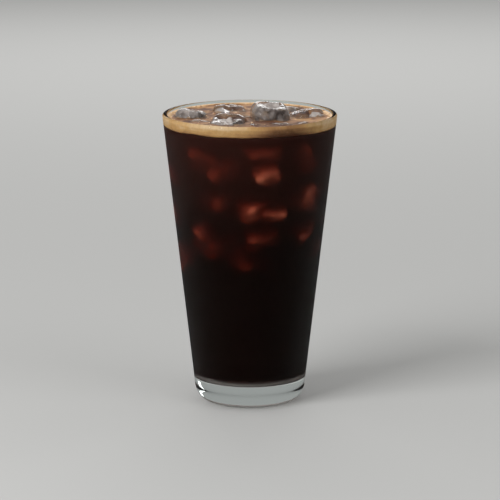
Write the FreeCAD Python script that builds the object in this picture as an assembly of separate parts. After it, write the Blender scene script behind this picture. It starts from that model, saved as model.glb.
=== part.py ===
"""Iced americano in a tapered mixing glass, filled almost to the rim.

Nodes: the glass, the coffee inside it, the layer of crema that floats on the coffee, and the ice cubes
that break the surface. Lengths are millimetres. The origin is the centre of the glass's foot on the
table, +Z is up and -Y is the front.
"""

import math
import os
from collections import namedtuple

import FreeCAD
import Part

# Glass: a straight cone outside and inside, with a heavy floor and a rounded heel.
GLASS_HEIGHT = 149.0
RIM_RADIUS = 44.5
FOOT_RADIUS = 27.1  # of the outer cone, extended down to the table
WALL_AT_RIM = 2.6
WALL_AT_FLOOR = 4.2
FLOOR_THICKNESS = 12.0
HEEL_ROUND = 9.5
INNER_CORNER_ROUND = 7.0
LIP_FLAT = 0.3  # width left between the two rounded edges of the lip
FOOT_RING = 4.5  # width of the flat ring that the glass stands on, round a shallow dome
PUNT_DEPTH = 1.0

# Drink: coffee, and crema on it up to just under the rim.
CREMA_BELOW_RIM = 1.9
CREMA_THICKNESS = 3.9
MENISCUS_RISE = 0.7  # how far the crema climbs the glass
MENISCUS_REACH = 2.2

# Ice: the cubes fill a round room in the mouth of the glass, and their sizes and places are shares of
# its radius, so that the pile always fits the glass.
ICE_WALL_GAP = 0.8  # between the pile and the inner wall
ICE_GAP = 0.4  # taken off each cube, so that no two of them touch
ICE_REACH = 0.5  # depth of the deepest corner below the crema's top
ICE_ROUND = 0.25  # melted edges, as a share of the cube's edge
DIMPLE_WIDTH = 0.62  # hollow in the freezing face, as shares of the cube's edge
DIMPLE_DEPTH = 0.09

IceCube = namedtuple("IceCube", "name x y rise edge turn lean heading")
# x, y and edge, and the height of the middle above the crema's top, are shares of the room's radius.
# A cube is turned about Z, then leans by that angle towards the heading. Angles are degrees.
ICE_CUBES = (
    IceCube("ice_left", -0.79, 0.06, -0.13, 0.45, -4, 12, 30),
    IceCube("ice_front_left", -0.28, -0.47, -0.16, 0.49, -12, 16, 262),
    IceCube("ice_centre", 0.26, -0.12, -0.05, 0.50, 10, 10, 300),
    IceCube("ice_right", 0.75, 0.10, -0.13, 0.44, 38, 14, 150),
    IceCube("ice_back_left", -0.27, 0.44, -0.18, 0.48, 14, 20, 300),
    IceCube("ice_back_right", 0.45, 0.61, -0.18, 0.47, -24, 12, 60),
)

UP = FreeCAD.Vector(0, 0, 1)
ORIGIN = FreeCAD.Vector(0, 0, 0)


def outer_radius(z):
    """Radius of the glass's outer cone at a height."""
    return FOOT_RADIUS + (RIM_RADIUS - FOOT_RADIUS) * z / GLASS_HEIGHT


def inner_radius(z):
    """Radius of the glass's inner cone at a height."""
    at_floor = outer_radius(FLOOR_THICKNESS) - WALL_AT_FLOOR
    at_rim = RIM_RADIUS - WALL_AT_RIM
    share = (z - FLOOR_THICKNESS) / (GLASS_HEIGHT - FLOOR_THICKNESS)
    return at_floor + (at_rim - at_floor) * share


def rounded_outline(corners):
    """Closed wire through (radius, height, rounding) corners, with tangent arcs at the rounded ones."""
    points = [FreeCAD.Vector(r, 0, z) for r, z, _ in corners]
    legs = []
    for i, (_, _, rounding) in enumerate(corners):
        corner = points[i]
        before = (points[i - 1] - corner).normalize()
        after = (points[(i + 1) % len(points)] - corner).normalize()
        if not rounding:
            legs.append((corner, corner, corner))
            continue
        bisector = (before + after).normalize()
        sine = (before - bisector * before.dot(bisector)).Length
        to_centre = rounding / sine
        along = to_centre * before.dot(bisector)
        legs.append((corner + before * along,
                     corner + bisector * (to_centre - rounding),
                     corner + after * along))
    edges = []
    for i, (start, middle, end) in enumerate(legs):
        if start != end:
            edges.append(Part.Arc(start, middle, end).toShape())
        following = legs[(i + 1) % len(legs)][0]
        edges.append(Part.LineSegment(end, following).toShape())
    return Part.Wire(edges)


def turned(corners):
    """Solid of revolution about Z from an outline."""
    solid = Part.Face(rounded_outline(corners)).revolve(ORIGIN, UP, 360)
    return Part.Solid(solid.Shells[0])


def main_solid(shape):
    """The largest solid that a cut left, with its seams cleaned up; puddles in the ice's hollows go."""
    return max(shape.removeSplitter().Solids, key=lambda solid: solid.Volume)


def cap_radius(half_width, depth):
    """Radius of the sphere whose cap has this half width and depth."""
    return (half_width ** 2 + depth ** 2) / (2 * depth)


def make_glass():
    lip_round = (WALL_AT_RIM - LIP_FLAT) / 2
    body = turned((
        (0, 0, 0),
        (FOOT_RADIUS, 0, HEEL_ROUND),
        (RIM_RADIUS, GLASS_HEIGHT, lip_round),
        (RIM_RADIUS - WALL_AT_RIM, GLASS_HEIGHT, lip_round),
        (inner_radius(FLOOR_THICKNESS), FLOOR_THICKNESS, INNER_CORNER_ROUND),
        (0, FLOOR_THICKNESS, 0),
    ))
    heel_angle = math.pi / 2 + math.atan2(RIM_RADIUS - FOOT_RADIUS, GLASS_HEIGHT)
    flat_radius = FOOT_RADIUS - HEEL_ROUND / math.tan(heel_angle / 2)
    dome_radius = cap_radius(flat_radius - FOOT_RING, PUNT_DEPTH)
    punt = Part.makeSphere(dome_radius, FreeCAD.Vector(0, 0, PUNT_DEPTH - dome_radius))
    return main_solid(body.cut(punt))


def make_ice(cube, room, surface):
    """A melted cube with a hollow in its top face, leaning in the pile."""
    edge = cube.edge * room - ICE_GAP
    box = Part.makeBox(edge, edge, edge, FreeCAD.Vector(-edge / 2, -edge / 2, -edge / 2))
    block = box.makeFillet(ICE_ROUND * edge, box.Edges)
    depth = DIMPLE_DEPTH * edge
    bowl_radius = cap_radius(DIMPLE_WIDTH * edge / 2, depth)
    bowl = Part.makeSphere(bowl_radius, FreeCAD.Vector(0, 0, edge / 2 - depth + bowl_radius))
    block = main_solid(block.cut(bowl))
    turn = FreeCAD.Rotation(UP, cube.turn)
    ahead = FreeCAD.Rotation(UP, cube.heading).multVec(FreeCAD.Vector(1, 0, 0))
    lean = FreeCAD.Rotation(UP.cross(ahead), cube.lean)
    middle = FreeCAD.Vector(cube.x * room, cube.y * room, surface + cube.rise * room)
    block.Placement = FreeCAD.Placement(middle, lean.multiply(turn))
    return block


def make_coffee(level, ice):
    drink = turned((
        (0, FLOOR_THICKNESS, 0),
        (inner_radius(FLOOR_THICKNESS), FLOOR_THICKNESS, INNER_CORNER_ROUND),
        (inner_radius(level), level, 0),
        (0, level, 0),
    ))
    return main_solid(drink.cut(list(ice)))


def make_crema(level, surface, ice):
    climb = surface + MENISCUS_RISE
    foam = turned((
        (0, level, 0),
        (inner_radius(level), level, 0),
        (inner_radius(climb), climb, 0),
        (inner_radius(surface) - MENISCUS_REACH, surface, 2 * MENISCUS_REACH),
        (0, surface, 0),
    ))
    return main_solid(foam.cut(list(ice)))


def main():
    surface = GLASS_HEIGHT - CREMA_BELOW_RIM
    coffee_level = surface - CREMA_THICKNESS
    taper = (inner_radius(GLASS_HEIGHT) - inner_radius(0)) / GLASS_HEIGHT
    room = (inner_radius(surface) - ICE_WALL_GAP) / (1 + taper * ICE_REACH)
    nodes = {cube.name: make_ice(cube, room, surface) for cube in ICE_CUBES}
    ice = list(nodes.values())
    nodes["glass"] = make_glass()
    nodes["coffee"] = make_coffee(coffee_level, ice)
    nodes["crema"] = make_crema(coffee_level, surface, ice)
    os.makedirs("parts", exist_ok=True)
    for name, shape in nodes.items():
        assert shape.isValid(), name + " is not a valid solid"
        shape.exportStep("parts/%s.step" % name)
        print("%-16s %9.1f mm3  %s" % (name, shape.Volume, shape.BoundBox))


main()
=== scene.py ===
"""Looks of the iced americano: glass, coffee, crema and ice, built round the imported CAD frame.

Lengths are millimetres in the frame's own axes, and MM turns them into metres. An azimuth is in degrees,
from the front towards +X. Tints and shares are from 0 to 1.
"""

import math
import random
from collections import namedtuple

import bmesh
import bpy
from mathutils import Matrix, Vector, noise
from mathutils.bvhtree import BVHTree


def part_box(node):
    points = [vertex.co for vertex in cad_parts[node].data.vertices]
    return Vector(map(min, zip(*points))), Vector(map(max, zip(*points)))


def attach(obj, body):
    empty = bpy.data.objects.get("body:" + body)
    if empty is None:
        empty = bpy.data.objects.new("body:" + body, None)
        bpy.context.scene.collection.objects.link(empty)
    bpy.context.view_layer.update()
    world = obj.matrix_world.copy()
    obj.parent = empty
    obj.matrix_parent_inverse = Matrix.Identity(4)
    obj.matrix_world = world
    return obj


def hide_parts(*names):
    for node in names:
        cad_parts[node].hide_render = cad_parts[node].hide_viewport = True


MM = 0.001
TURN = 2 * math.pi

# ---------------------------------------------------------------- sizes

# Glass: a straight cone outside and inside, with a heavy floor and a rounded heel.
RIM_RADIUS = 44.5
FOOT_RADIUS = 27.1  # of the outer cone, extended down to the table
WALL_AT_RIM = 2.6
WALL_AT_FLOOR = 4.2
HEEL_ROUND = 9.5
INNER_CORNER_ROUND = 7.0
LIP_FLAT = 0.3  # width left between the two rounded edges of the lip
FOOT_RING = 4.5  # width of the flat ring that the glass stands on, round a shallow dome
PUNT_DEPTH = 1.0
PUNT_RINGS = 6
WET_MARGIN = 0.2  # how far from the inner cone and floor a face may be and still count as wet

# Steps of the turned shapes.
AROUND = 192  # round the axis
ARC_STEP = 6.0  # degrees along a rounded corner
RUN_STEP = 3.0  # along a straight

# What fills the glass reaches this far into its wall, so that no air shows between them.
COFFEE_IN_WALL = 0.25
CREMA_IN_WALL = 0.35
COFFEE_IN_CREMA = 1.0

# Crema: uneven on top, climbing the glass and the ice, with a wavy lower edge.
MENISCUS_RISE = 0.7
MENISCUS_REACH = 3.0
LUMP_HEIGHT = 0.35
LUMP_WIDTH = 9.0
FROTH_HEIGHT = 0.10
FROTH_WIDTH = 1.6
ICE_CLIMB = 0.3
ICE_CLIMB_REACH = 0.7
CREMA_UNDER_ICE = 0.35  # thickness left where ice stands in the foam
SINK_DEPTH = 1.2  # into the ice, until the foam is that thin
EDGE_DROP = 0.45
EDGE_WAVE = 0.35
EDGE_WAVES = 3.2  # radius of the circle of noise that the lower edge follows
CREMA_STEPS = 400
CREMA_RINGS = 110
CREMA_SIDE_RINGS = 7
CREMA_UNDER_RINGS = 9

BUBBLES = 420
BUBBLE_SEED = 11
BUBBLE_SMALLEST = 0.22  # radius
BUBBLE_SPREAD = 0.55  # by which the largest radius is more
BUBBLE_SINK = 0.35  # share of the radius that lies below the foam
BUBBLE_RINGS = 6
BUBBLE_STEPS = 12
BUBBLES_AT_WALL = 0.45  # share of the tries
BUBBLE_ROW = 2.0  # width of the row along the glass, and of the clusters beside the ice
DEEPEST_BUBBLE = 1.5  # below the foam's level

# Ice: cuts are the divisions of a cube's edge.
ICE_CUTS = 33
CHIP_CUTS = 11
SUNK_CUTS = 13
ICE_WEAR = 3  # passes that round the edges
ICE_INSET = 0.15  # from the CAD cube's surface
ICE_LEAST_INSET = 0.05
ICE_WAVE = 0.8
ICE_WAVE_WIDTH = 7.0
ICE_CHIPPING = 0.12
ICE_CHIPPING_WIDTH = 2.6
CORE_UNEVEN = 0.16
CORE_SWIRL = 1.3
CORE_SWIRL_WIDTH = 4.5

# Foam clings to the ice up to a torn line. Climb is that line's height, torn how far it strays from it.
FOAM_CLING = 0.9
FOAM_CLIMB = 0.2
FOAM_TORN = 1.3
FOAM_TORN_WIDTH = 3.0
FOAM_EDGE = 0.35  # half the height over which it thins out at the line
FOAM_FILM = 0.35
CHIP_FOAM_CLING = 0.85
CHIP_FOAM_CLIMB = 0.1
CHIP_FOAM_TORN = 0.9

# Worn lumps: sides are shares of the edge length, turns are radians.
LUMP_SQUARENESS = 3.4  # 2 would be a ball
LUMP_DENTS = 0.22
LUMP_LENGTH = 1.15
LUMP_BREADTH = 0.95
LUMP_BREADTH_VARIES = 0.1
LUMP_THICKNESS = 0.85
CHIP_BREADTH = 0.8  # on top of the lump's own
CHIP_THICKNESS = 0.6
CHIP_TURN = 1.3  # from each chip to the next
CHIP_PITCH = 0.3
CHIP_ROLL = 0.2

# How far each cube's cloudy core lies from its middle, and the core's share of its size.
ICE_CORES = {
    "ice_left": (Vector((-1.5, 0, 1.5)), 0.62),
    "ice_front_left": (Vector((-1.5, -2, 1.5)), 0.58),
    "ice_centre": (Vector((1.0, 2, 2.5)), 0.62),
    "ice_right": (Vector((4.0, 0, 1.0)), 0.48),
    "ice_back_left": (Vector((-2.0, 2, 1.0)), 0.52),
    "ice_back_right": (Vector((2.0, 3, 2.5)), 0.56),
}

# x, y, size and height above the foam of the small pieces of ice awash between the cubes.
ICE_CHIPS = (
    (-25, -15, 10, 0.9),
    (3, -24, 9, 0.8),
    (15, -23, 9, 1.1),
    (25, -19, 8, 0.6),
    (-9, 33, 8, 0.9),
    (-31, 15, 7, 0.8),
    (30, 19, 7, 1.0),
    (-3, 1, 8, 0.5),
)
FIRST_CHIP_SEED = 60

# Ice sunk in the coffee. Depth is that of the coffee in front of it. Pitch, roll and yaw are degrees.
SunkCube = namedtuple("SunkCube", "azimuth height depth edge pitch roll yaw")
SUNK_FRONT = (
    SunkCube(14, 124, 0.4, 12, 52, -14, 4),
    SunkCube(3, 106, 1.0, 15, 34, -6, 30),
    SunkCube(22, 104, 0.9, 12, 40, -8, -8),
    SunkCube(11, 91, 2.3, 14, 42, -8, 10),
    SunkCube(63, 110, 1.0, 20, 12, 18, 24),
    SunkCube(59, 92, 1.8, 14, 44, -28, 6),
    SunkCube(-22, 126, 3.5, 16, 24, -28, 14),
    SunkCube(-49, 92, 2.5, 12, 40, 70, 20),
    SunkCube(-34, 110, 3.5, 18, 30, 12, -14),
    SunkCube(52, 132, 2.8, 18, 38, 62, 10),
    SunkCube(11, 139, 2.6, 16, 44, -4, 6),
    SunkCube(-52, 84, 5.0, 16, 36, 40, 8),
    SunkCube(-27, 86, 3.8, 16, 22, -20, 16),
    SunkCube(-5, 80, 3.8, 17, 34, 52, -18),
    SunkCube(-45, 132, 3.7, 18, 28, 18, 12),
)
# Behind and at the sides the sunk ice lies in layers, scattered by chance.
SUNK_LAYERS = (132, 114, 96, 80)
SUNK_PER_LAYER = 5
SUNK_FROM = 104  # azimuth of a layer's first cube
SUNK_ACROSS = 148  # from its first cube to its last
SUNK_TWIST = 6  # of every second layer
SUNK_STRAY = 8  # to either side, in degrees
SUNK_STRAY_UP = 4  # or down
SUNK_DEPTHS = (1.2, 3.5, 4.5, 5.5)
SUNK_EDGES = (17, 21)
SUNK_PITCHES = (10, 50)
SUNK_ROLLS = (-60, 60)
SUNK_YAWS = (-20, 20)
SUNK_BELOW_CREMA = 0.6
SUNK_SEED = 4
SEATING_STEPS = 30  # halvings of the way out from the axis
FARTHEST_OUT = 60.0

# ---------------------------------------------------------------- camera, light and colours

CAMERA_DISTANCE = 1924.0
CAMERA_ELEVATION = 11.5
CAMERA_BASE = 75.0  # height that the camera's distance and elevation are counted from
CAMERA_LENS = 271.0
CAMERA_SENSOR = 36.0
CAMERA_SIGHT = 50  # metres
CAMERA_AIM = (0.1, 0, 78.2)

# Lamps: angles in degrees, lengths in metres, power in watts.
Lamp = namedtuple("Lamp", "name azimuth elevation distance width height power seen_in_glass")
LAMPS = (
    Lamp("key", -45, 38, 1.6, 0.8, 0.8, 17, False),
    Lamp("fill", 50, 35, 2.0, 1.2, 1.2, 6, False),
    Lamp("back", 180, 28, 1.6, 1.0, 0.5, 6, False),
    Lamp("edge", 124, 12, 1.5, 0.2, 0.6, 0.9, True),
)
LAMP_AIM = Vector((0, 0, 0.08))
WORLD_LIGHT = 0.38
WORLD_TINT = (1, 1, 0.99, 1)
FLOOR_RADIUS = 12  # metres
FLOOR_GREY = (0.55, 0.55, 0.54, 1)

WHITE = (1, 1, 1, 1)
GLASS_IOR = 1.5
GLASS_MIRROR = 0.08  # share of a bare pane's reflection
GLASS_TINT = (0.90, 0.93, 0.92, 1)
GLASS_SHADOW = (0.92, 0.93, 0.92, 1)

COFFEE_IOR = 1.33
COFFEE_ROUGHNESS = 0.29
COFFEE_CLEARNESS = (0.42, 0.16, 0.10, 1)
COFFEE_DENSITY = 430.0
# Haze on the coffee: faint all over, and more towards the top as painted light glowing under the foam.
COFFEE_HAZE_AND_GLOW = (0.46, 0.12, 0.085, 1)
HAZE_BOTTOM = 78
HAZE_TOP = 146
HAZE_BELOW = 0.01
HAZE_AND_GLOW_ABOVE = 0.065
COFFEE_STAIN = (0.055, 0.016, 0.007)

CREMA_BROWN = (0.13, 0.054, 0.027)
CREMA_GOLD = (0.42, 0.215, 0.095)
CREMA_TAN = (0.67, 0.395, 0.165)
CREMA_PALE = (0.84, 0.60, 0.37)
CREMA_TONES = ((0.0, CREMA_BROWN), (0.35, CREMA_GOLD), (0.68, CREMA_TAN), (1.0, CREMA_PALE))
# The cells are darker at their middles, the pits of the bump: painted shade.
CREMA_CELL_SHADE = ((0.0, (0.86, 0.84, 0.82)), (0.5, (1.0, 1.0, 1.0)))
CREMA_MARBLING = 0.22

# Weights of the crema's tone, from 0 for brown to 1 for pale.
SIDE_TONE = 0.46  # at the foot of the band against the glass
SIDE_TONE_RISE = 0.38
TOP_TONE = 0.24
TOP_PATCHES = 0.40
TONE_STREAKS = 0.22
# Paler at the right and darker round one azimuth: partly the foam's own tone, partly painted light and
# painted shade.
PALER_TONE_AND_LIGHT = 0.15
DARKER_TONE_AND_SHADE = 0.66
DARKEST_AZIMUTH = 23.0
DARK_WIDTH = 20

# Weights of the coffee that shows through the crema, from 0 to 1.
POOL_STAIN = 0.765
POOL_REACH = 9.0  # from the ice
# The ring round the ice: partly coffee showing through, partly painted shade where the ice meets the foam.
ROUND_ICE_STAIN_AND_SHADE = 0.96
LOW_STAIN = 0.75

# Widths of what varies over the crema, in millimetres.
PALE_RIM = 2.6
PALE_RIM_AT_FRONT = 1.6  # wider there, and as much narrower at the back
PALE_RIM_UNEVEN = 0.8
PATCH_WIDTH = 7.0
STREAK_LENGTH = 14
STREAK_THICKNESS = 1.5
FLECK_WIDTH = 5.0

ICE_IOR = 1.31
ICE_SHADOW = (0.85, 0.85, 0.85, 1)
ICE_FROST = (0.40, 0.35, 0.32, 1)
ICE_CORE_DARK = (0.085, 0.065, 0.058)
ICE_CORE_LIGHT = (0.50, 0.455, 0.43)
ICE_FOAM = (0.30, 0.20, 0.125, 1)
SUNK_ICE_DARK = (0.50, 0.16, 0.09)
SUNK_ICE_LIGHT = (0.95, 0.32, 0.19)

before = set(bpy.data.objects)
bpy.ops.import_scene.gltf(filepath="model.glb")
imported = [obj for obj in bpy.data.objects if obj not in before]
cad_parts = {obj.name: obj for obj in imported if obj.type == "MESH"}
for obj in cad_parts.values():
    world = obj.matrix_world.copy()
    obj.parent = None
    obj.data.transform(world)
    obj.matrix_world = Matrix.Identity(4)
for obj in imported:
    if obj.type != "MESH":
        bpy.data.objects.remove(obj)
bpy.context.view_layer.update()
_, glass_high = (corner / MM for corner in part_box("glass"))
coffee_low, _ = (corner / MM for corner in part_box("coffee"))
crema_low, crema_high = (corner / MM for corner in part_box("crema"))

GLASS_HEIGHT = glass_high.z
FLOOR_HEIGHT = coffee_low.z
CREMA_BOTTOM = crema_low.z
MENISCUS_TOP = crema_high.z
CREMA_TOP = MENISCUS_TOP - MENISCUS_RISE


# ---------------------------------------------------------------- measures

def outer_radius(z):
    """Radius of the glass's outer cone at a height."""
    return FOOT_RADIUS + (RIM_RADIUS - FOOT_RADIUS) * z / GLASS_HEIGHT


def inner_radius(z):
    """Radius of the glass's inner cone at a height."""
    at_floor = outer_radius(FLOOR_HEIGHT) - WALL_AT_FLOOR
    at_rim = RIM_RADIUS - WALL_AT_RIM
    share = (z - FLOOR_HEIGHT) / (GLASS_HEIGHT - FLOOR_HEIGHT)
    return at_floor + (at_rim - at_floor) * share


def smooth(begin, end, value):
    """0 at begin, 1 at end, with a soft step between."""
    share = min(1.0, max(0.0, (value - begin) / (end - begin)))
    return share * share * (3 - 2 * share)


def relief(place, octaves, fall=1.0, finer=2.0):
    """Noise about zero, with octaves of finer and weaker noise on it."""
    return noise.fractal(place, fall, finer, octaves)


def swirl(place):
    """A push that changes smoothly over space, and differs along the three axes."""
    return Vector([relief(place + Vector((9 * axis, 0, 0)), 4) for axis in range(3)])


def angles(steps):
    """Angles of even steps round the axis, in radians."""
    return [TURN * k / steps for k in range(steps)]


def on_circle(radius, angle):
    """x and y at this radius from the axis."""
    return radius * math.cos(angle), radius * math.sin(angle)


def turned(*turns):
    """Product of rotations, each given as an axis and radians. The last one acts first."""
    spin = Matrix.Identity(3)
    for axis, angle in turns:
        spin = spin @ Matrix.Rotation(angle, 3, axis)
    return spin


# ---------------------------------------------------------------- meshes

def corner_arc(before, corner, after, rounding):
    """Points of the arc that rounds a corner off."""
    back = (before - corner).normalized()
    ahead = (after - corner).normalized()
    half = back.angle(ahead) / 2
    middle = corner + (back + ahead).normalized() * (rounding / math.sin(half))
    start = corner + back * (rounding / math.tan(half)) - middle
    sweep = math.pi - 2 * half
    if back.x * ahead.y - back.y * ahead.x >= 0:
        sweep = -sweep
    steps = max(2, round(math.degrees(abs(sweep)) / ARC_STEP))
    return [middle + Matrix.Rotation(sweep * k / steps, 2) @ start for k in range(steps + 1)]


def rounded(corners):
    """Points along (radius, height, rounding) corners: arcs at the rounded ones, even steps between."""
    points = [Vector((r, z)) for r, z, _ in corners]
    path = [points[0]]
    for i in range(1, len(points)):
        rounding = corners[i][2]
        arc = corner_arc(points[i - 1], points[i], points[i + 1], rounding) if rounding else [points[i]]
        begin = path[-1]
        run = arc[0] - begin
        steps = max(1, round(run.length / RUN_STEP))
        path += [begin + run * (k / steps) for k in range(1, steps)]
        path += arc
    return path


def ring_faces(count, steps):
    """Faces of a closed skin whose corners are its top, rings of this many steps, and its bottom."""
    faces = []
    end = count - 1 - steps
    for k in range(steps):
        after = (k + 1) % steps
        faces.append([0, 1 + k, 1 + after])
        for a in range(1, end, steps):
            b = a + steps
            faces.append([a + k, b + k, b + after, a + after])
        faces.append([end + k, count - 1, end + after])
    return faces


def lathe(profile):
    """Corners and faces of a closed solid turned from a profile that leaves the axis at its bottom."""
    verts = [(0, 0, profile[0].y)]
    for point in profile[1:-1]:
        verts += [(*on_circle(point.x, angle), point.y) for angle in angles(AROUND)]
    verts.append((0, 0, profile[-1].y))
    # ring_faces goes from the top down and the profile from the bottom up, so each face is turned over.
    faces = [face[:1] + face[:0:-1] for face in ring_faces(len(verts), AROUND)]
    return verts, faces


def append_mesh(verts, faces, more_verts, more_faces):
    """Adds the corners and faces of one mesh to those of another."""
    start = len(verts)
    verts += more_verts
    faces += [[start + i for i in face] for face in more_faces]


def new_piece(name, verts, faces, materials):
    """A smooth mesh object from millimetre points, riding on the body."""
    mesh = bpy.data.meshes.new(name)
    mesh.from_pydata([Vector(v) * MM for v in verts], [], faces)
    mesh.validate()
    mesh.update()
    piece = bpy.data.objects.new(name, mesh)
    bpy.context.collection.objects.link(piece)
    for material in materials:
        mesh.materials.append(material)
    mesh.shade_smooth()
    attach(piece, "root")
    return piece


def set_attribute(piece, name, values):
    """Gives every corner of a piece a number that its material reads."""
    layer = piece.data.attributes.new(name, "FLOAT", "POINT")
    layer.data.foreach_set("value", values)


def tree_of(pieces):
    """A search tree over the surfaces of several pieces, in millimetres."""
    verts, faces = [], []
    for piece in pieces:
        corners = [v.co / MM for v in piece.data.vertices]
        append_mesh(verts, faces, corners, [list(f.vertices) for f in piece.data.polygons])
    return BVHTree.FromPolygons(verts, faces)


def ice_gap(near_ice, place):
    """Distance to the nearest ice, below zero inside it."""
    spot, normal, _, distance = near_ice.find_nearest(place)
    return math.copysign(distance, (place - spot).dot(normal))


# ---------------------------------------------------------------- shader parts

def node_material(name):
    """A new material, its emptied tree and the tree's output."""
    material = bpy.data.materials.new(name)
    material.use_nodes = True
    tree = material.node_tree
    tree.nodes.clear()
    output = tree.nodes.new("ShaderNodeOutputMaterial")
    return material, tree, output


def add(tree, kind, **inputs):
    """A new node with constants on the named inputs, where _ stands for a space."""
    node = tree.nodes.new(kind)
    for key, value in inputs.items():
        node.inputs[key.replace("_", " ")].default_value = value
    return node


def attribute(tree, name):
    """The number that a piece's corners carry under this name."""
    node = add(tree, "ShaderNodeAttribute")
    node.attribute_name = name
    return node.outputs["Fac"]


def own_place(tree):
    """The piece's own coordinates, in metres."""
    return add(tree, "ShaderNodeTexCoord").outputs["Object"]


def texture(tree, kind, output, **inputs):
    """One output of a texture that stays fixed to the piece."""
    node = add(tree, kind, **inputs)
    tree.links.new(own_place(tree), node.inputs["Vector"])
    return node.outputs[output]


def combine(tree, operation, first, second):
    """Sum or product of two values."""
    node = add(tree, "ShaderNodeMath")
    node.operation = operation
    tree.links.new(first, node.inputs[0])
    tree.links.new(second, node.inputs[1])
    return node.outputs[0]


def map_range(tree, value, interpolation="LINEAR", **limits):
    """A value carried over from one range to another."""
    node = add(tree, "ShaderNodeMapRange", **limits)
    node.interpolation_type = interpolation
    tree.links.new(value, node.inputs["Value"])
    return node.outputs[0]


def ramp_of(tree, source, stops):
    """A colour ramp over (position, colour) stops."""
    ramp = add(tree, "ShaderNodeValToRGB")
    elements = ramp.color_ramp.elements
    while len(elements) < len(stops):
        elements.new(0.5)
    for element, (position, colour) in zip(elements, stops):
        element.position = position
        element.color = (*colour, 1)
    tree.links.new(source, ramp.inputs[0])
    return ramp.outputs[0]


def mix_colours(tree, blend, share, first, second):
    """The first colour blended with the second. A share or colour is a constant or a linked output."""
    mix = tree.nodes.new("ShaderNodeMix")
    mix.data_type = "RGBA"
    mix.blend_type = blend
    sockets = {socket.identifier: socket for socket in mix.inputs}
    for identifier, value in (("Factor_Float", share), ("A_Color", first), ("B_Color", second)):
        if isinstance(value, bpy.types.NodeSocket):
            tree.links.new(value, sockets[identifier])
        else:
            sockets[identifier].default_value = value
    return next(socket for socket in mix.outputs if socket.identifier == "Result_Color")


def mix_shaders(tree, share, first, second):
    """The first shader where the share is 0, and the second where it is 1."""
    mix = add(tree, "ShaderNodeMixShader")
    for socket, source in zip(mix.inputs, (share, first, second)):
        tree.links.new(source, socket)
    return mix.outputs[0]


def clear_shader(tree, roughness, ior, mirror):
    """Something clear that bends light, and mirrors this share of what it otherwise would."""
    shader = add(tree, "ShaderNodeBsdfPrincipled", Base_Color=WHITE, Roughness=roughness, IOR=ior,
                 Transmission_Weight=1.0, Specular_Tint=(mirror, mirror, mirror, 1))
    return shader.outputs[0]


def cover(tree, output, colour, **inputs):
    """Puts an opaque shader of a linked colour on the piece, and returns it."""
    shader = add(tree, "ShaderNodeBsdfPrincipled", **inputs)
    tree.links.new(colour, shader.inputs["Base Color"])
    tree.links.new(shader.outputs[0], output.inputs["Surface"])
    return shader


def shade_through(tree, output, surface, shadow_tint):
    """Lets lamp light through the surface, where a refracting one would only cast a shadow."""
    path = add(tree, "ShaderNodeLightPath")
    through = add(tree, "ShaderNodeBsdfTransparent", Color=shadow_tint)
    mixed = mix_shaders(tree, path.outputs["Is Shadow Ray"], surface, through.outputs[0])
    tree.links.new(mixed, output.inputs["Surface"])


# ---------------------------------------------------------------- materials

def glass_material():
    """Clear glass. From outside it mirrors less than a bare pane would, as in an even dark studio."""
    material, tree, output = node_material("glass_clear")
    bend = add(tree, "ShaderNodeBsdfRefraction", Color=GLASS_TINT, IOR=GLASS_IOR)
    shine = add(tree, "ShaderNodeBsdfGlossy", Color=WHITE, Roughness=0.0)
    facing = add(tree, "ShaderNodeNewGeometry")
    share = map_range(tree, facing.outputs["Backfacing"], To_Min=GLASS_MIRROR, To_Max=1.0)
    fresnel = add(tree, "ShaderNodeFresnel", IOR=GLASS_IOR)
    mirrored = combine(tree, "MULTIPLY", share, fresnel.outputs[0])
    surface = mix_shaders(tree, mirrored, bend.outputs[0], shine.outputs[0])
    shade_through(tree, output, surface, GLASS_SHADOW)
    return material


def wet_glass_material():
    """The inside of the glass where the drink touches it: it bends light but doesn't mirror it."""
    material, tree, output = node_material("glass_wet_inside")
    shade_through(tree, output, clear_shader(tree, 0.0, GLASS_IOR, 0), WHITE)
    return material


def coffee_material():
    """Coffee, with a faint brown haze of its own that grows towards the top; the growth is painted light
    glowing through under the foam.
    """
    material, tree, output = node_material("coffee_liquid")
    clear = clear_shader(tree, COFFEE_ROUGHNESS, COFFEE_IOR, 0)
    haze_and_glow = add(tree, "ShaderNodeBsdfDiffuse", Color=COFFEE_HAZE_AND_GLOW)
    axes = add(tree, "ShaderNodeSeparateXYZ")
    tree.links.new(own_place(tree), axes.inputs[0])
    # More haze towards the top: painted light glowing under the foam.
    share = map_range(tree, axes.outputs["Z"], "SMOOTHSTEP", From_Min=HAZE_BOTTOM * MM,
                      From_Max=HAZE_TOP * MM, To_Min=HAZE_BELOW, To_Max=HAZE_AND_GLOW_ABOVE)
    surface = mix_shaders(tree, share, clear, haze_and_glow.outputs[0])
    shade_through(tree, output, surface, WHITE)
    absorb = add(tree, "ShaderNodeVolumeAbsorption", Color=COFFEE_CLEARNESS, Density=COFFEE_DENSITY)
    tree.links.new(absorb.outputs[0], output.inputs["Volume"])
    return material


def crema_colour(tree, cells):
    """Dark brown to cream by the tone attribute, blended to the coffee's colour by a second attribute:
    coffee showing through, and round the ice partly painted shade.
    """
    swirls = texture(tree, "ShaderNodeTexNoise", "Fac", Scale=210.0, Detail=5.0, Distortion=1.2)
    marbling = map_range(tree, swirls, To_Min=-CREMA_MARBLING, To_Max=CREMA_MARBLING)
    foam = ramp_of(tree, combine(tree, "ADD", attribute(tree, "tone"), marbling), CREMA_TONES)
    # Painted shade in the cells' pits.
    foam = mix_colours(tree, "MULTIPLY", 1.0, foam, ramp_of(tree, cells, CREMA_CELL_SHADE))
    return mix_colours(tree, "MIX", attribute(tree, "stain_and_shade"), foam, (*COFFEE_STAIN, 1))


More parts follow.
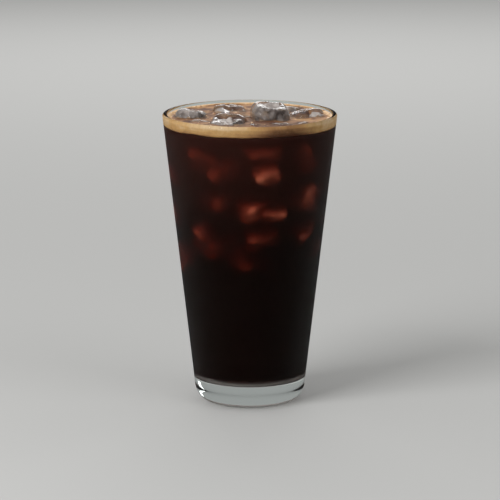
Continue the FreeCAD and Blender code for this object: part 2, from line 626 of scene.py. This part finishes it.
def crema_material():
    """Matt foam of fine cells, darkened in their pits as painted shade."""
    material, tree, output = node_material("crema_foam")
    cells = texture(tree, "ShaderNodeTexVoronoi", "Distance", Scale=1300.0)
    shader = cover(tree, output, crema_colour(tree, cells), Roughness=0.6, Specular_IOR_Level=0.08)
    bump = add(tree, "ShaderNodeBump", Strength=0.5, Distance=0.12 * MM)
    tree.links.new(cells, bump.inputs["Height"])
    tree.links.new(bump.outputs[0], shader.inputs["Normal"])
    return material


def ice_material(name, clearest, cloudiest):
    """Wet ice with cloudy patches, and foam clinging to it where its foam attribute is high."""
    material, tree, output = node_material(name)
    clear = clear_shader(tree, 0.05, ICE_IOR, 0.5)
    frost = add(tree, "ShaderNodeBsdfPrincipled", Base_Color=ICE_FROST, Roughness=0.2,
                Specular_IOR_Level=0.25)
    cling = add(tree, "ShaderNodeBsdfPrincipled", Base_Color=ICE_FOAM, Roughness=0.5,
                Specular_IOR_Level=0.15)
    cloud = texture(tree, "ShaderNodeTexNoise", "Fac", Scale=130.0, Detail=3.0, Distortion=0.8)
    patches = map_range(tree, cloud, From_Min=0.45, From_Max=0.70, To_Min=clearest, To_Max=cloudiest)
    body = mix_shaders(tree, patches, clear, frost.outputs[0])
    whole = mix_shaders(tree, attribute(tree, "foam"), body, cling.outputs[0])
    shade_through(tree, output, whole, ICE_SHADOW)
    return material


def ice_core_material():
    """The cloud of fine bubbles frozen into a cube, whitest where its cloud attribute is high. That
    attribute falls towards the bottom of each core as painted shade.
    """
    material, tree, output = node_material("ice_core")
    cloud = texture(tree, "ShaderNodeTexNoise", "Fac", Scale=240.0, Detail=4.0)
    wisps = map_range(tree, cloud, From_Min=0.3, From_Max=0.7, To_Min=-0.3, To_Max=0.3)
    white_and_shade = combine(tree, "ADD", attribute(tree, "cloud"), wisps)
    tone = ramp_of(tree, white_and_shade, ((0.0, ICE_CORE_DARK), (1.0, ICE_CORE_LIGHT)))
    cover(tree, output, tone, Roughness=0.6, Specular_IOR_Level=0.1)
    return material


def cloudy_material(name, scale, detail, stops, **inputs):
    """An opaque material whose colour follows noise over (position, colour) stops."""
    material, tree, output = node_material(name)
    cloud = texture(tree, "ShaderNodeTexNoise", "Fac", Scale=scale, Detail=detail)
    cover(tree, output, ramp_of(tree, cloud, stops), **inputs)
    return material


def bubble_material():
    """The foam's colours, but glossier."""
    stops = ((0.35, CREMA_GOLD), (0.65, CREMA_PALE))
    return cloudy_material("bubble_film", 300.0, 1.0, stops, Roughness=0.12, Specular_IOR_Level=0.6)


def sunk_ice_material():
    """Ice seen through coffee: cloudy, and stained by it."""
    stops = ((0.32, SUNK_ICE_DARK), (0.68, SUNK_ICE_LIGHT))
    return cloudy_material("ice_in_coffee", 90.0, 2.0, stops, Roughness=0.5, Specular_IOR_Level=0.0)


def floor_material():
    material, tree, output = node_material("floor_paint")
    shader = add(tree, "ShaderNodeBsdfPrincipled", Base_Color=FLOOR_GREY, Roughness=0.9,
                 Specular_IOR_Level=0.0)
    tree.links.new(shader.outputs[0], output.inputs["Surface"])
    return material


# ---------------------------------------------------------------- glass and coffee

def punt_profile(edge):
    """Points of the shallow dome under the glass, from the axis to just short of its edge."""
    dome = (edge ** 2 + PUNT_DEPTH ** 2) / (2 * PUNT_DEPTH)
    radii = [edge * k / PUNT_RINGS for k in range(PUNT_RINGS)]
    return [Vector((r, PUNT_DEPTH - dome + math.sqrt(dome ** 2 - r ** 2))) for r in radii]


def make_glass():
    """The tumbler, with a material of its own on the inner faces that the drink touches."""
    lip_round = (WALL_AT_RIM - LIP_FLAT) / 2
    heel_angle = math.pi / 2 + math.atan2(RIM_RADIUS - FOOT_RADIUS, GLASS_HEIGHT)
    punt_edge = FOOT_RADIUS - HEEL_ROUND / math.tan(heel_angle / 2) - FOOT_RING
    body = rounded((
        (punt_edge, 0, 0),
        (FOOT_RADIUS, 0, HEEL_ROUND),
        (RIM_RADIUS, GLASS_HEIGHT, lip_round),
        (RIM_RADIUS - WALL_AT_RIM, GLASS_HEIGHT, lip_round),
        (inner_radius(FLOOR_HEIGHT), FLOOR_HEIGHT, INNER_CORNER_ROUND),
        (0, FLOOR_HEIGHT, 0),
    ))
    verts, faces = lathe(punt_profile(punt_edge) + body)
    glass = new_piece("glass_tumbler", verts, faces, [glass_material(), wet_glass_material()])
    for face in glass.data.polygons:
        middle = face.center / MM
        inside = middle.xy.length < inner_radius(middle.z) + WET_MARGIN
        if inside and FLOOR_HEIGHT - WET_MARGIN < middle.z < CREMA_TOP:
            face.material_index = 1
    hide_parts("glass")


def make_coffee():
    """Coffee from just inside the glass's floor to just inside the foam."""
    top = CREMA_BOTTOM + COFFEE_IN_CREMA
    low = FLOOR_HEIGHT - COFFEE_IN_WALL
    verts, faces = lathe(rounded((
        (0, low, 0),
        (inner_radius(FLOOR_HEIGHT) + COFFEE_IN_WALL, low, INNER_CORNER_ROUND),
        (inner_radius(top) + COFFEE_IN_WALL, top, 0),
        (0, top, 0),
    )))
    coffee = new_piece("coffee_liquid", verts, faces, [coffee_material()])
    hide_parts("coffee")


# ---------------------------------------------------------------- crema

def crema_top(x, y, near_ice):
    """Height of the foam: uneven, climbing at the wall and the ice, and sunk where ice stands in it."""
    # Two slices of the same noise, at heights of their own so that they don't repeat each other.
    lumps = relief(Vector((x, y, 3)) / LUMP_WIDTH, 4) * LUMP_HEIGHT
    froth = relief(Vector((x, y, 9)) / FROTH_WIDTH, 3, 0.8, 2.1) * FROTH_HEIGHT
    from_edge = math.hypot(x, y) - inner_radius(CREMA_TOP)
    rise = max(0.0, (from_edge + MENISCUS_REACH) / MENISCUS_REACH) ** 2 * MENISCUS_RISE
    height = CREMA_TOP + min(lumps + froth + rise, MENISCUS_TOP - CREMA_TOP)
    gap = ice_gap(near_ice, Vector((x, y, height)))
    climb = ICE_CLIMB * math.exp(-max(gap, 0.0) / ICE_CLIMB_REACH)
    sink = (height - CREMA_BOTTOM - CREMA_UNDER_ICE) * smooth(0.0, SINK_DEPTH, -gap)
    return height + climb - sink


def crema_edge(angle):
    """Height of the foam's lower edge at the wall."""
    place = Vector((*on_circle(1, angle), 0)) * EDGE_WAVES
    return CREMA_BOTTOM - EDGE_DROP + relief(place, 4, 0.8) * EDGE_WAVE


def crema_skin(near_ice):
    """Corners of the foam in rings: out along the top, down the wall, and back to the axis beneath."""
    edge = inner_radius(CREMA_TOP) + CREMA_IN_WALL
    verts = [(0, 0, crema_top(0, 0, near_ice))]
    for ring in range(1, CREMA_RINGS + 1):
        for angle in angles(CREMA_STEPS):
            x, y = on_circle(edge * ring / CREMA_RINGS, angle)
            verts.append((x, y, crema_top(x, y, near_ice)))
    brim = [z for _, _, z in verts[-CREMA_STEPS:]]
    for ring in range(1, CREMA_SIDE_RINGS + 1):
        down = ring / (CREMA_SIDE_RINGS + 1)
        for angle, high in zip(angles(CREMA_STEPS), brim):
            z = high * (1 - down) + crema_edge(angle) * down
            verts.append((*on_circle(inner_radius(z) + CREMA_IN_WALL, angle), z))
    for ring in range(CREMA_UNDER_RINGS, 0, -1):
        share = ring / (CREMA_UNDER_RINGS + 1)
        for angle in angles(CREMA_STEPS):
            z = CREMA_BOTTOM + (crema_edge(angle) - CREMA_BOTTOM) * share
            verts.append((*on_circle(edge * share, angle), z))
    verts.append((0, 0, CREMA_BOTTOM))
    return verts


def crema_tone(azimuth, rise, at_wall, patch, streak):
    """How pale the foam is: palest high on the wall and at the right, darkest at one azimuth. Paler at the
    right is partly painted light, and darker round that azimuth is partly painted shade; the rest is the
    foam's own tone.
    """
    side = SIDE_TONE + SIDE_TONE_RISE * rise
    top = TOP_TONE + TOP_PATCHES * patch
    mixed = top + (side - top) * at_wall + TONE_STREAKS * streak
    # Partly painted light at the right, and partly painted shade round the darkest azimuth.
    paler_and_lit = smooth(35, 70, azimuth) * smooth(130, 95, azimuth)
    darker_and_shaded = math.exp(-((azimuth - DARKEST_AZIMUTH) / DARK_WIDTH) ** 2) * (0.45 + 0.55 * at_wall)
    return mixed + PALER_TONE_AND_LIGHT * paler_and_lit - DARKER_TONE_AND_SHADE * darker_and_shaded


def crema_stain_and_shade(distance, rise, at_wall, patch, streak, fleck):
    """How much coffee shows through: in pools on top, round the ice, and along the lower edge. The dark
    ring round the ice is partly coffee, partly painted shade where the ice meets the foam.
    """
    pool = smooth(-0.35, 0.40, patch - distance / POOL_REACH)
    # A ring of coffee and painted shade where the ice meets the foam.
    ring_width = 0.9 + 2.2 * max(0.0, patch + 0.15)
    ring_of_stain_and_shade = math.exp(-(distance / ring_width) ** 2) * (0.45 + 0.55 * smooth(-0.25, 0.25, fleck))
    on_top = max(ROUND_ICE_STAIN_AND_SHADE * ring_of_stain_and_shade, POOL_STAIN * pool)
    low = smooth(0.14, -0.16, rise + 0.3 * streak)
    return min(1.0, (1 - at_wall) * on_top + LOW_STAIN * low)


def colour_crema(crema, near_ice):
    """Sets how pale the foam is at each corner, and how much coffee shows through it."""
    wall = inner_radius(CREMA_TOP)
    tones, stains_and_shade = [], []
    for vertex in crema.data.vertices:
        place = vertex.co / MM
        azimuth = math.degrees(math.atan2(place.x, -place.y))
        rise = (place.z - CREMA_BOTTOM) / (CREMA_TOP - CREMA_BOTTOM)
        flat = Vector((place.x / STREAK_LENGTH, place.y / STREAK_LENGTH, place.z / STREAK_THICKNESS))
        streak = relief(flat, 3)
        patch = relief(place / PATCH_WIDTH, 3)
        rim_width = PALE_RIM + PALE_RIM_AT_FRONT * math.cos(math.radians(azimuth)) + PALE_RIM_UNEVEN * patch
        at_wall = smooth(wall - rim_width, wall - 0.2 * rim_width, place.xy.length)
        distance = max(0.0, ice_gap(near_ice, place))
        fleck = noise.noise(place / FLECK_WIDTH)
        tones.append(crema_tone(azimuth, rise, at_wall, patch, streak))
        stains_and_shade.append(crema_stain_and_shade(distance, rise, at_wall, patch, streak, fleck))
    set_attribute(crema, "tone", tones)
    set_attribute(crema, "stain_and_shade", stains_and_shade)


def make_crema(near_ice):
    """The foam, in which the ice leaves hollows."""
    verts = crema_skin(near_ice)
    faces = ring_faces(len(verts), CREMA_STEPS)
    crema = new_piece("crema_layer", verts, faces, [crema_material()])
    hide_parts("crema")
    colour_crema(crema, near_ice)
    return crema


def ball(centre, radius, up):
    """Corners and faces of a closed ball whose first pole points up."""
    turn = Vector((0, 0, 1)).rotation_difference(up)
    verts = [centre + up * radius]
    for ring in range(1, BUBBLE_RINGS):
        tilt = math.pi * ring / BUBBLE_RINGS
        for angle in angles(BUBBLE_STEPS):
            spot = Vector((*on_circle(math.sin(tilt), angle), math.cos(tilt)))
            verts.append(centre + turn @ spot * radius)
    verts.append(centre - up * radius)
    return verts, ring_faces(len(verts), BUBBLE_STEPS)


def bubble_reach(rng, wall, radius, at_wall):
    """Distance from the axis: along the wall, or anywhere on the foam."""
    share = rng.random()
    if at_wall:
        return wall - radius - share ** 2 * BUBBLE_ROW
    return wall * math.sqrt(share)


def make_bubbles(crema, near_ice):
    """Larger bubbles of the foam: a loose row along the glass, and clusters beside the ice."""
    rng = random.Random(BUBBLE_SEED)
    surface = tree_of([crema])
    wall = inner_radius(CREMA_TOP)
    verts, faces = [], []
    made = 0
    while made < BUBBLES:
        angle = rng.uniform(0, TURN)
        radius = BUBBLE_SMALLEST + BUBBLE_SPREAD * rng.random() ** 3
        at_wall = rng.random() < BUBBLES_AT_WALL
        reach = bubble_reach(rng, wall, radius, at_wall)
        above = Vector((*on_circle(reach, angle), GLASS_HEIGHT + 10))
        hit, normal, _, _ = surface.ray_cast(above, Vector((0, 0, -1)))
        if hit is None or hit.z < CREMA_TOP - DEEPEST_BUBBLE:
            continue
        gap = ice_gap(near_ice, hit)
        if gap < radius or (not at_wall and rng.random() > math.exp(-gap / BUBBLE_ROW)):
            continue
        append_mesh(verts, faces, *ball(hit - normal * radius * BUBBLE_SINK, radius, normal))
        made += 1
    new_piece("crema_bubbles", verts, faces, [bubble_material()])


# ---------------------------------------------------------------- ice

def cube_grid(cuts):
    """Corners and faces of a cube about the origin, from -1 to 1, divided evenly."""
    bm = bmesh.new()
    bmesh.ops.create_cube(bm, size=2)
    bmesh.ops.subdivide_edges(bm, edges=bm.edges[:], cuts=cuts, use_grid_fill=True)
    verts = [v.co.copy() for v in bm.verts]
    faces = [[v.index for v in f.verts] for f in bm.faces]
    bm.free()
    return verts, faces


def evened(verts, faces, passes):
    """Moves each corner to the middle of its neighbours, again and again, so that edges wear round."""
    around = [set() for _ in verts]
    for face in faces:
        for i, j in zip(face, face[1:] + face[:1]):
            around[i].add(j)
            around[j].add(i)
    for _ in range(passes):
        verts = [sum((verts[j] for j in near), Vector()) / len(near) for near in around]
    return verts


def worn_cube(block, centre, directions, faces, shift):
    """Corners of a cube a little inside a block, with its edges worn and its faces uneven."""
    verts = [block.ray_cast(centre, way.normalized())[0] for way in directions]
    worn = []
    for place in evened(verts, faces, ICE_WEAR):
        wave = relief((place + shift) / ICE_WAVE_WIDTH, 2)
        chip = relief((place - shift) / ICE_CHIPPING_WIDTH, 2)
        inset = max(ICE_LEAST_INSET, ICE_INSET + ICE_WAVE * wave + ICE_CHIPPING * chip)
        worn.append(place - (place - centre).normalized() * inset)
    return worn


def under_foam_line(place, climb):
    """1 below a line this far above the foam's level, 0 above it."""
    return smooth(climb + FOAM_EDGE, climb - FOAM_EDGE, place.z - CREMA_TOP)


def clinging_foam(place, shift):
    """How much foam clings to a cube: a torn edge at the surface and a film above, none deep down."""
    climb = FOAM_CLIMB + FOAM_TORN * relief((place + shift) / FOAM_TORN_WIDTH, 3)
    film = FOAM_FILM * smooth(0.10, 0.45, relief((place - shift) / 6.0, 3))
    afloat = smooth(CREMA_BOTTOM - 2.0, CREMA_BOTTOM - 0.5, place.z)
    return max(film, FOAM_CLING * under_foam_line(place, climb)) * afloat


def cloudy_core(name, worn, low, high, shift):
    """Corners of a worn cube's core, and how white each is: most towards the top of the middle. Whiter in
    the middle is the ice's own cloud; darker towards the bottom is painted shade.
    """
    centre = (low + high) / 2
    aside, size = ICE_CORES[name]
    verts, clouds_and_shade = [], []
    for place in worn:
        share = size + CORE_UNEVEN * noise.noise((place + shift) / 6.0)
        inner = centre + aside + (place - centre) * share
        verts.append(inner + CORE_SWIRL * swirl((inner + shift) / CORE_SWIRL_WIDTH))
        across = (place - centre).xy.length / (high - low).xy.length * 2
        # Darker towards the bottom of the core: painted shade under the cube.
        upward = (place.z - centre.z) / (high.z - centre.z)
        clouds_and_shade.append(0.12 + 0.85 * smooth(0.85, 0.25, across) * smooth(-0.2, 0.7, upward)
                      + 0.35 * noise.noise((inner - shift) / 2.8))
    return verts, clouds_and_shade


def make_top_ice():
    """Worn cubes in the places of the CAD ones, with cloudy cores. Returns the cubes."""
    material = ice_material("ice_clear", 0.04, 0.45)
    directions, faces = cube_grid(ICE_CUTS)
    pieces = []
    core_verts, core_faces, clouds_and_shade = [], [], []
    names = sorted(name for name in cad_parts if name.startswith("ice"))
    for seed, name in enumerate(names):
        block = tree_of([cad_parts[name]])
        low, high = (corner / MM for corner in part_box(name))
        shift = Vector((seed * 17.0, 5.0, 2.0))  # gives each cube noise of its own
        worn = worn_cube(block, (low + high) / 2, directions, faces, shift)
        piece = new_piece(name + "_melted", worn, faces, [material])
        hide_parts(name)
        set_attribute(piece, "foam", [clinging_foam(place, shift) for place in worn])
        pieces.append(piece)
        core, whiteness_and_shade = cloudy_core(name, worn, low, high, shift)
        append_mesh(core_verts, core_faces, core, faces)
        clouds_and_shade += whiteness_and_shade
    cores = new_piece("ice_cores", core_verts, core_faces, [ice_core_material()])
    set_attribute(cores, "cloud", clouds_and_shade)
    return pieces


def melted_lump(directions, edge, seed):
    """Corners of a worn lump about the origin, between a cube and a ball, with hollows."""
    shift = Vector((seed * 3.7, seed * 1.3, 0))  # gives each lump noise of its own
    breadth = LUMP_BREADTH + LUMP_BREADTH_VARIES * math.sin(seed)
    stretch = Vector((LUMP_LENGTH, breadth, LUMP_THICKNESS))
    verts = []
    for way in directions:
        size = sum(abs(c) ** LUMP_SQUARENESS for c in way) ** (1 / LUMP_SQUARENESS)
        place = way / size
        place *= 1 + LUMP_DENTS * relief(place * 0.8 + shift, 3)
        verts.append(place * stretch * edge / 2)
    return verts


def make_ice_chips():
    """Small pieces of ice awash between the cubes."""
    directions, sides = cube_grid(CHIP_CUTS)
    verts, faces = [], []
    for seed, (x, y, size, height) in enumerate(ICE_CHIPS):
        spin = turned(("Z", seed * CHIP_TURN), ("X", CHIP_PITCH), ("Y", CHIP_ROLL))
        lump = melted_lump(directions, size, FIRST_CHIP_SEED + seed)
        lump = [spin @ Vector((v.x, v.y * CHIP_BREADTH, v.z * CHIP_THICKNESS)) for v in lump]
        lift = CREMA_TOP + height - max(v.z for v in lump)
        append_mesh(verts, faces, [v + Vector((x, y, lift)) for v in lump], sides)
    chips = new_piece("ice_chips", verts, faces, [ice_material("ice_slush", 0.25, 0.7)])
    foam = []
    for vertex in chips.data.vertices:
        place = vertex.co / MM
        climb = CHIP_FOAM_CLIMB + CHIP_FOAM_TORN * relief(place / FOAM_TORN_WIDTH, 3)
        foam.append(CHIP_FOAM_CLING * under_foam_line(place, climb))
    set_attribute(chips, "foam", foam)
    return chips


def seated(verts, cube):
    """Moves a lump out along its azimuth until it has its depth of coffee between it and the wall."""
    azimuth = math.radians(cube.azimuth)
    spin = turned(("Z", azimuth), ("Y", math.radians(cube.roll)), ("X", math.radians(cube.pitch)),
                  ("Z", math.radians(cube.yaw)))
    verts = [spin @ v for v in verts]
    outward = Vector((math.sin(azimuth), -math.cos(azimuth), 0))
    height = min(cube.height, CREMA_BOTTOM - SUNK_BELOW_CREMA - max(v.z for v in verts))
    near, far = 0.0, FARTHEST_OUT
    for _ in range(SEATING_STEPS):
        middle = (near + far) / 2
        centre = outward * middle + Vector((0, 0, height))
        room = min(inner_radius(c.z) - c.xy.length for c in (v + centre for v in verts))
        if room > cube.depth:
            near = middle
        else:
            far = middle
    centre = outward * near + Vector((0, 0, height))
    return [v + centre for v in verts]


def scattered_cubes():
    """Sunk cubes at the sides and behind, in layers."""
    rng = random.Random(SUNK_SEED)
    between = SUNK_ACROSS / (SUNK_PER_LAYER - 1)
    cubes = []
    for layer, height in enumerate(SUNK_LAYERS):
        for k in range(SUNK_PER_LAYER):
            azimuth = SUNK_FROM + between * k + rng.uniform(-SUNK_STRAY, SUNK_STRAY)
            azimuth += (layer % 2) * SUNK_TWIST
            cubes.append(SunkCube(
                azimuth=azimuth,
                height=height + rng.uniform(-SUNK_STRAY_UP, SUNK_STRAY_UP),
                depth=rng.choice(SUNK_DEPTHS),
                edge=rng.uniform(*SUNK_EDGES),
                pitch=rng.uniform(*SUNK_PITCHES),
                roll=rng.uniform(*SUNK_ROLLS),
                yaw=rng.uniform(*SUNK_YAWS),
            ))
    return cubes


def make_sunk_ice():
    """Lumps of ice in the coffee, which glow red-brown through it."""
    directions, sides = cube_grid(SUNK_CUTS)
    verts, faces = [], []
    for seed, cube in enumerate([*SUNK_FRONT, *scattered_cubes()]):
        lump = melted_lump(directions, cube.edge, seed)
        append_mesh(verts, faces, seated(lump, cube), sides)
    new_piece("sunk_ice", verts, faces, [sunk_ice_material()])


# ---------------------------------------------------------------- room

def aim_at(thing, target):
    """Turns a lamp or camera towards a place in metres."""
    thing.rotation_euler = (target - thing.location).to_track_quat("-Z", "Y").to_euler()


def make_floor():
    bpy.ops.mesh.primitive_circle_add(vertices=96, radius=FLOOR_RADIUS, fill_type="NGON")
    floor = bpy.context.object
    floor.name = "floor"
    floor.data.materials.append(floor_material())


def make_lamp(lamp):
    """An area lamp that lights the scene without being seen directly."""
    data = bpy.data.lights.new(lamp.name, "AREA")
    data.shape = "RECTANGLE"
    data.size = lamp.width
    data.size_y = lamp.height
    data.energy = lamp.power
    light = bpy.data.objects.new(lamp.name, data)
    bpy.context.collection.objects.link(light)
    a, e = math.radians(lamp.azimuth), math.radians(lamp.elevation)
    light.location = (lamp.distance * math.sin(a) * math.cos(e),
                      -lamp.distance * math.cos(a) * math.cos(e),
                      lamp.distance * math.sin(e))
    aim_at(light, LAMP_AIM)
    light.visible_camera = False
    light.visible_transmission = lamp.seen_in_glass


def make_world():
    world = bpy.data.worlds.new("studio")
    world.use_nodes = True
    background = world.node_tree.nodes["Background"]
    background.inputs["Color"].default_value = WORLD_TINT
    background.inputs["Strength"].default_value = WORLD_LIGHT
    bpy.context.scene.world = world


def make_camera():
    data = bpy.data.cameras.new("camera")
    data.lens = CAMERA_LENS
    data.sensor_width = CAMERA_SENSOR
    data.clip_end = CAMERA_SIGHT
    camera = bpy.data.objects.new("camera", data)
    bpy.context.collection.objects.link(camera)
    e = math.radians(CAMERA_ELEVATION)
    height = CAMERA_BASE + CAMERA_DISTANCE * math.sin(e)
    camera.location = Vector((0, -CAMERA_DISTANCE * math.cos(e), height)) * MM
    aim_at(camera, Vector(CAMERA_AIM) * MM)
    bpy.context.scene.camera = camera


make_camera()
make_world()
make_floor()
for lamp in LAMPS:
    make_lamp(lamp)
make_glass()
make_coffee()
top_ice = make_top_ice()
top_ice.append(make_ice_chips())
near_ice = tree_of(top_ice)
crema = make_crema(near_ice)
make_bubbles(crema, near_ice)
make_sunk_ice()

scene = bpy.context.scene
scene.view_settings.view_transform = "Standard"
